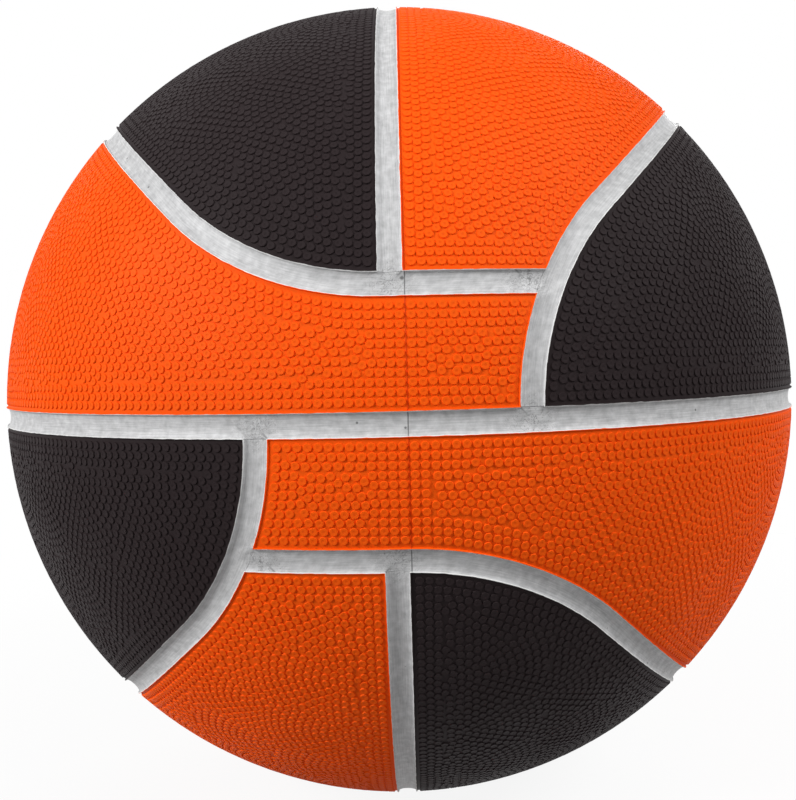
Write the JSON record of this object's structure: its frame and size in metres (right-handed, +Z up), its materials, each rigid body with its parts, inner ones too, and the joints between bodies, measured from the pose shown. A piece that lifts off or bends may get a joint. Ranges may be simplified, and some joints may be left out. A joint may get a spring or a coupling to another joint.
{
  "type": "basketball",
  "caption": "Moulded rubber basketball with cover panels, sunk channel strips between them, a wound carcass and bladder inside, and an inflation valve that takes a needle.",
  "frame": {"origin": "the ball's centre", "axes": "-Y towards the front square of the channel pattern, +Z up along the vertical channels, +X to the right as seen from the front"},
  "size_m": [0.2418, 0.242, 0.242],
  "materials": {
    "orange_rubber": "moulded, pebbled, satin",
    "black_rubber": "moulded, pebbled, satin",
    "silver_paint": "rubber strip painted silver",
    "carcass_rubber": "plain, matt",
    "nylon_thread": "wound thread",
    "bladder_rubber": "smooth butyl rubber",
    "valve_rubber": "smooth rubber",
    "plug_rubber": "smooth soft rubber"
  },
  "bodies": {
    "root": {"panel_top_left": "black_rubber", "panel_top_right": "orange_rubber", "panel_left_upper": "orange_rubber", "panel_right_upper": "black_rubber", "panel_left_lower": "black_rubber", "panel_right_lower": "orange_rubber", "panel_bottom_left": "orange_rubber", "panel_bottom_right": "black_rubber", "channel_equator": "silver_paint", "channel_top": "silver_paint", "channel_bottom": "silver_paint", "channel_upper_left": "silver_paint", "channel_upper_right": "silver_paint", "channel_lower_left": "silver_paint", "channel_lower_right": "silver_paint", "carcass": "carcass_rubber", "winding_layer": "nylon_thread", "bladder": "bladder_rubber", "valve_housing": "valve_rubber", "valve_plug": "plug_rubber"}
  },
  "joints": []
}
